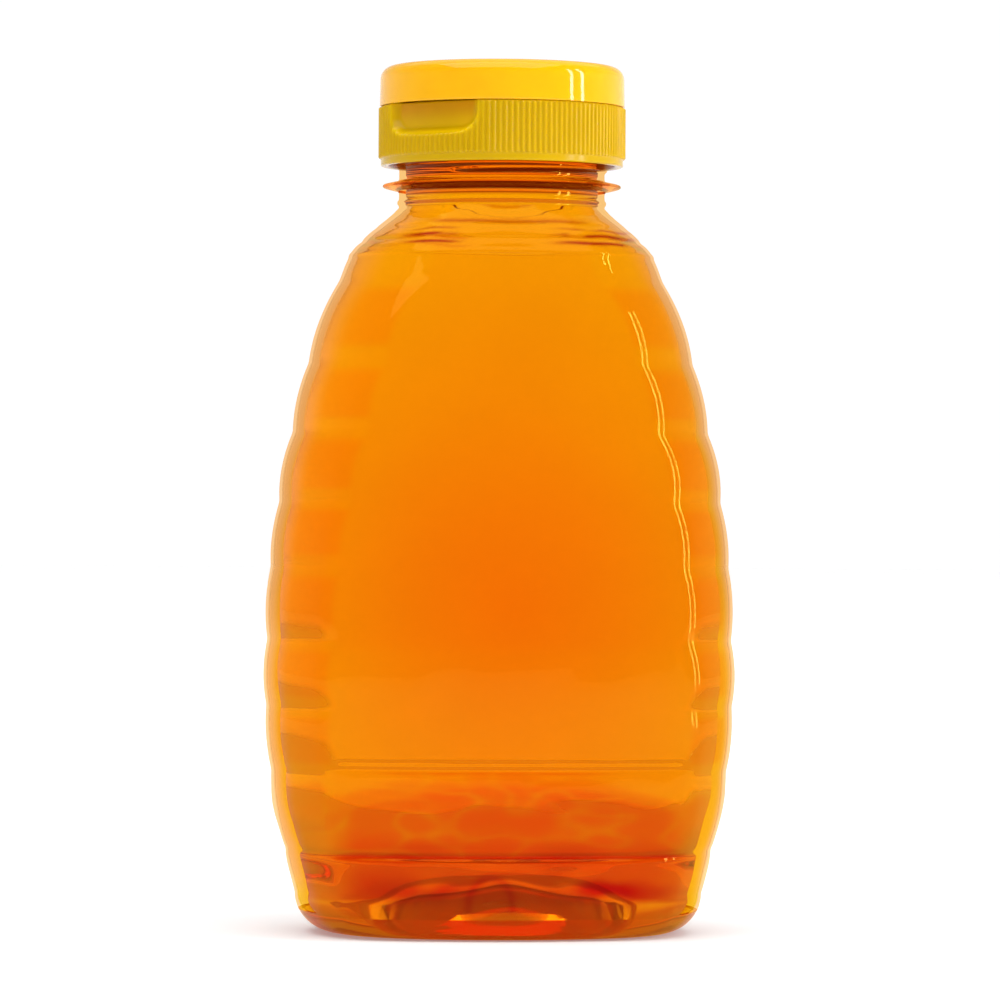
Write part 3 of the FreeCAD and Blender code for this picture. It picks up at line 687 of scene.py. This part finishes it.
def edge_on(mat, shader, bend, start):
    """Less bending where the clear wall is met nearly edge-on, so that its rim shows as a
    pale band; from the inside already at a lesser slant."""
    nodes, links = mat.node_tree.nodes, mat.node_tree.links
    shader.inputs["IOR"].default_value = bend
    facing = nodes.new("ShaderNodeLayerWeight")
    facing.inputs["Blend"].default_value = 0.5
    side = nodes.new("ShaderNodeNewGeometry")
    lean = nodes.new("ShaderNodeMath")
    lean.operation = "MULTIPLY_ADD"
    lean.inputs[1].default_value = 0.15
    links.new(side.outputs["Backfacing"], lean.inputs[0])
    links.new(facing.outputs["Facing"], lean.inputs[2])
    span = nodes.new("ShaderNodeMapRange")
    span.inputs["From Min"].default_value = start
    span.inputs["From Max"].default_value = start + 0.006
    span.inputs["To Min"].default_value = bend
    span.inputs["To Max"].default_value = 1.001
    links.new(lean.outputs[0], span.inputs["Value"])
    links.new(span.outputs[0], shader.inputs["IOR"])


def wall_nodes(mat, sh, waves):
    n = add_noise(mat, 60.0, 2.0, 0.5)
    r2 = ramp(mat, n.outputs["Fac"], [(0.3, (0.0, 0.0, 0.0)), (0.75, (0.02, 0.02, 0.02))])
    mat.node_tree.links.new(r2.outputs[0], sh.inputs["Roughness"])
    wave = add_noise(mat, 110.0, 1.0, 0.4)
    bump(mat, sh, wave.outputs["Fac"], waves, 0.0002)
    return n


PET_BEND = 1.36


def clear_outside(name, tint, waves, rim=True, bend=PET_BEND):
    """Clear PET with the honey's colour in it, seen and mirrored by its outer face."""
    mat = bpy.data.materials.new(name)
    mat.use_nodes = True
    nodes, links = mat.node_tree.nodes, mat.node_tree.links
    nodes.clear()
    out = nodes.new("ShaderNodeOutputMaterial")
    glass = nodes.new("ShaderNodeBsdfGlass")
    links.new(glass.outputs[0], out.inputs["Surface"])
    glass.inputs["IOR"].default_value = bend
    if rim:
        edge_on(mat, glass, bend, 0.637)
    n = wall_nodes(mat, glass, waves)
    r = ramp(mat, n.outputs["Fac"], [(0.3, tint), (0.7, tuple(min(1.0, t * 1.02) for t in tint))])
    painted = nodes.new("ShaderNodeVertexColor")
    painted.layer_name = "tone"
    mixed = nodes.new("ShaderNodeMix")
    mixed.data_type = "RGBA"
    mixed.blend_type = "MULTIPLY"
    mixed.inputs["Factor"].default_value = 1.0
    links.new(painted.outputs["Color"], mixed.inputs["A"])
    links.new(r.outputs[0], mixed.inputs["B"])
    links.new(mixed.outputs["Result"], glass.inputs["Color"])
    return mat


def clear_inside(name, rim=True):
    """The inner face, wetted by the honey, so that it mirrors nothing head-on."""
    mat, sh, _ = material(name)
    sh.inputs["Transmission Weight"].default_value = 1.0
    sh.inputs["IOR"].default_value = PET_BEND
    if rim:
        edge_on(mat, sh, PET_BEND, 0.55)
    sh.inputs["Specular Tint"].default_value = (0, 0, 0, 1)
    sh.inputs["Roughness"].default_value = 0.0
    n = add_noise(mat, 60.0, 1.0, 0.5)
    r = ramp(mat, n.outputs["Fac"], [(0.3, (0.99, 0.985, 0.975)), (0.7, (1.0, 1.0, 1.0))])
    mat.node_tree.links.new(r.outputs[0], sh.inputs["Base Color"])
    return mat


pet = clear_outside("clear_pet", (0.98, 0.98, 0.98), 0.22)
pet_wet = clear_inside("clear_pet_inside")
pet_ring = clear_outside("clear_pet_ring", (0.98, 0.80, 0.60), 0.2, rim=False, bend=1.14)
pet_foot = clear_outside("clear_pet_foot", (0.98, 0.98, 0.98), 0.25, rim=False)
pet_foot_wet = clear_inside("clear_pet_foot_inside", rim=False)
for mat in (pet, pet_wet, pet_ring, pet_foot, pet_foot_wet):
    bottle.data.materials.append(mat)
inside_from = sum(len(r) for r in outer) + sum(len(r) for r in circle_rows(neck_profile)) - 4 * COLS
for poly in bottle.data.polygons:
    middle = poly.center
    foot = middle.z < (0.0035 if math.hypot(middle.x / 1.15, middle.y) > 0.021 else 0.0125)
    if min(poly.vertices) >= inside_from:
        poly.material_index = 4 if foot else 1
    elif foot:
        poly.material_index = 3
    elif 0.1236 < middle.z < 0.1260 and math.hypot(middle.x, middle.y) > 0.01742:
        poly.material_index = 2

def honey_glass(name, rim=True, painted_glow=0.05):
    """Honey: a deep orange, from its own depth of colour and from what it soaks up."""
    mat, sh, out = material(name)
    sh.inputs["Transmission Weight"].default_value = 1.0
    sh.inputs["IOR"].default_value = 1.49
    if rim:
        edge_on(mat, sh, 1.49, 0.56)
    sh.inputs["Roughness"].default_value = 0.0
    sh.inputs["Specular Tint"].default_value = (0, 0, 0, 1)
    # painted glow: the honey gives off a little orange light of its own, more in the foot
    sh.inputs["Emission Color"].default_value = (1.0, 0.10, 0.0, 1)
    sh.inputs["Emission Strength"].default_value = painted_glow
    nodes, links = mat.node_tree.nodes, mat.node_tree.links
    cloud = add_noise(mat, 25.0, 2.0, 0.5, (1, 1, 0.5))
    veil = ramp(mat, cloud.outputs["Fac"], [(0.3, (0.985, 0.95, 0.9)), (0.7, (1.0, 1.0, 1.0))])
    painted = nodes.new("ShaderNodeVertexColor")
    painted.layer_name = "tone"
    mixed = nodes.new("ShaderNodeMix")
    mixed.data_type = "RGBA"
    mixed.blend_type = "MULTIPLY"
    mixed.inputs["Factor"].default_value = 1.0
    links.new(painted.outputs["Color"], mixed.inputs["A"])
    links.new(veil.outputs[0], mixed.inputs["B"])
    links.new(mixed.outputs["Result"], sh.inputs["Base Color"])
    soak = nodes.new("ShaderNodeVolumeAbsorption")
    soak.inputs["Color"].default_value = (0.994, 0.855, 0.55, 1)
    soak.inputs["Density"].default_value = 100.0
    links.new(soak.outputs[0], out.inputs["Volume"])
    return mat


honey.data.materials.append(honey_glass("amber_honey"))
honey.data.materials.append(honey_glass("amber_honey_foot", rim=False, painted_glow=0.14))
for poly in honey.data.polygons:
    middle = poly.center
    if middle.z < (0.0035 if math.hypot(middle.x / 1.15, middle.y) > 0.021 else 0.0125):
        poly.material_index = 1


def cap_plastic(name, deep, light, gloss, toned=False):
    """Moulded polypropylene: fine grain, a little light inside, a soft gloss."""
    mat, sh, _ = material(name)
    n = add_noise(mat, 180.0, 3.0, 0.55)
    r = ramp(mat, n.outputs["Fac"], [(0.3, deep), (0.7, light)])
    if toned:
        painted = mat.node_tree.nodes.new("ShaderNodeVertexColor")
        painted.layer_name = "tone"
        mixed = mat.node_tree.nodes.new("ShaderNodeMix")
        mixed.data_type = "RGBA"
        mixed.blend_type = "MULTIPLY"
        mixed.inputs["Factor"].default_value = 1.0
        mat.node_tree.links.new(painted.outputs["Color"], mixed.inputs["A"])
        mat.node_tree.links.new(r.outputs[0], mixed.inputs["B"])
        mat.node_tree.links.new(mixed.outputs["Result"], sh.inputs["Base Color"])
    else:
        mat.node_tree.links.new(r.outputs[0], sh.inputs["Base Color"])
    r2 = ramp(mat, n.outputs["Fac"], [(0.25, (gloss,) * 3), (0.75, (gloss + 0.05,) * 3)])
    mat.node_tree.links.new(r2.outputs[0], sh.inputs["Roughness"])
    sh.inputs["IOR"].default_value = 1.49
    sh.inputs["Specular IOR Level"].default_value = 0.16
    sh.inputs["Subsurface Weight"].default_value = 0.12
    sh.inputs["Subsurface Radius"].default_value = (0.0012, 0.0006, 0.0001)
    sh.inputs["Subsurface Scale"].default_value = 1.0
    grain = add_noise(mat, 900.0, 2.0, 0.5)
    bump(mat, sh, grain.outputs["Fac"], 0.08, 0.0001)
    return mat


yellow_lid = cap_plastic("yellow_lid", (0.94, 0.455, 0.0), (0.97, 0.48, 0.0), 0.01)
yellow_lid.node_tree.nodes["Principled BSDF"].inputs["Specular IOR Level"].default_value = 0.30
# painted shade: the skirt and the strap get a darker copy of the lid's yellow, the same plastic as it looks
# shaded
yellow_skirt_painted_shade = cap_plastic("yellow_skirt_painted_shade", (0.61, 0.372, 0.0), (0.645, 0.392, 0.001), 0.14, True)
yellow_strap_painted_shade = cap_plastic("yellow_strap_painted_shade", (0.61, 0.372, 0.0), (0.645, 0.392, 0.001), 0.14)
lid.data.materials.append(yellow_lid)
skirt.data.materials.append(yellow_skirt_painted_shade)
strap.data.materials.append(yellow_strap_painted_shade)

# ---------------------------------------------------------------------------
# floor, backdrop and light
# ---------------------------------------------------------------------------
floor = new_mesh("floor", [(-6, -6, -0.0002), (6, -6, -0.0002), (6, 6, -0.0002), (-6, 6, -0.0002)],
                 [(0, 1, 2, 3)], smooth=False)
pale, sh, _ = material("pale_floor")
n = add_noise(pale, 3.0, 2.0, 0.5)
r = ramp(pale, n.outputs["Fac"], [(0.3, (0.90, 0.90, 0.895)), (0.7, (0.92, 0.92, 0.915))])
pale.node_tree.links.new(r.outputs[0], sh.inputs["Base Color"])
sh.inputs["Roughness"].default_value = 0.6
sh.inputs["Specular IOR Level"].default_value = 0.2
far = pale.node_tree.nodes.new("ShaderNodeTexCoord")
gauge = pale.node_tree.nodes.new("ShaderNodeVectorMath")
gauge.operation = "LENGTH"
pale.node_tree.links.new(far.outputs["Object"], gauge.inputs[0])
span = pale.node_tree.nodes.new("ShaderNodeMapRange")
span.inputs["From Min"].default_value = 0.25
span.inputs["From Max"].default_value = 2.0
span.inputs["To Min"].default_value = 0.22
span.inputs["To Max"].default_value = 0.66
pale.node_tree.links.new(gauge.outputs["Value"], span.inputs["Value"])
pale.node_tree.links.new(span.outputs[0], sh.inputs["Emission Strength"])
sh.inputs["Emission Color"].default_value = (1, 1, 1, 1)
floor.data.materials.append(pale)

world = bpy.data.worlds.new("studio")
scene.world = world
world.use_nodes = True
wn, wl = world.node_tree.nodes, world.node_tree.links
wn.clear()
wout = wn.new("ShaderNodeOutputWorld")
back = wn.new("ShaderNodeBackground")
wl.new(back.outputs[0], wout.inputs[0])
coords = wn.new("ShaderNodeTexCoord")
split = wn.new("ShaderNodeSeparateXYZ")
wl.new(coords.outputs["Generated"], split.inputs[0])


def world_ramp(source, low, high, stops):
    """Brightness over one component of the direction, as a node chain."""
    spread_node = wn.new("ShaderNodeMapRange")
    spread_node.inputs["From Min"].default_value = low
    spread_node.inputs["From Max"].default_value = high
    wl.new(source, spread_node.inputs["Value"])
    node = wn.new("ShaderNodeValToRGB")
    node.color_ramp.elements[0].position = stops[0][0]
    node.color_ramp.elements[0].color = (stops[0][1],) * 3 + (1,)
    node.color_ramp.elements[1].position = stops[-1][0]
    node.color_ramp.elements[1].color = (stops[-1][1],) * 3 + (1,)
    for pos, val in stops[1:-1]:
        e = node.color_ramp.elements.new(pos)
        e.color = (val, val, val, 1)
    wl.new(spread_node.outputs[0], node.inputs["Fac"])
    return node.outputs[0]


# dimmer behind the camera, bright behind the bottle; a little dimmer overhead
around = world_ramp(split.outputs["Y"], -1.0, 1.0,
                    [(0.0, 0.42), (0.22, 0.42), (0.42, 0.50), (0.60, 0.72), (0.8, 0.94), (0.9, 1.0),
                     (1.0, 1.02)])
above = world_ramp(split.outputs["Z"], 0.0, 1.0,
                   [(0.0, 1.0), (0.12, 1.0), (0.24, 0.72), (0.42, 0.50), (1.0, 0.40)])
both = wn.new("ShaderNodeMix")
both.data_type = "RGBA"
both.blend_type = "MULTIPLY"
both.inputs["Factor"].default_value = 1.0
wl.new(around, both.inputs["A"])
wl.new(above, both.inputs["B"])
wl.new(both.outputs["Result"], back.inputs["Color"])
back.inputs["Strength"].default_value = 1.0


def area(name, width, height, azimuth, elevation, distance, radiance, target=(0, 0, 0.08),
         colour=(1, 1, 1)):
    """Area light seen from the bottle at azimuth (0 = towards the camera side, + to the right)."""
    data = bpy.data.lights.new(name, "AREA")
    data.shape = "RECTANGLE"
    data.size, data.size_y = width, height
    data.energy = radiance * math.pi * width * height
    data.color = colour
    obj = bpy.data.objects.new(name, data)
    scene.collection.objects.link(obj)
    a = CAMERA_AZ + math.radians(azimuth)
    e = math.radians(elevation)
    centre = Vector(target)
    obj.location = centre + distance * Vector((math.sin(a) * math.cos(e),
                                               -math.cos(a) * math.cos(e), math.sin(e)))
    obj.rotation_mode = "QUATERNION"
    obj.rotation_quaternion = (centre - obj.location).to_track_quat("-Z", "Y")
    return obj


area("strip_right_a", 0.070, 0.9, 68, 12, 1.2, 20.0)
area("strip_right_b", 0.070, 0.9, 80.5, 12, 1.2, 20.0)
area("softbox_top", 2.8, 1.9, -6, 66, 1.9, 2.3)
area("top_back", 3.0, 2.0, 0, 112, 2.2, 0.7)

scene.view_settings.view_transform = "Standard"
scene.view_settings.look = "None"
scene.cycles.max_bounces = 10
scene.cycles.transmission_bounces = 10
scene.cycles.glossy_bounces = 6
scene.cycles.transparent_max_bounces = 16
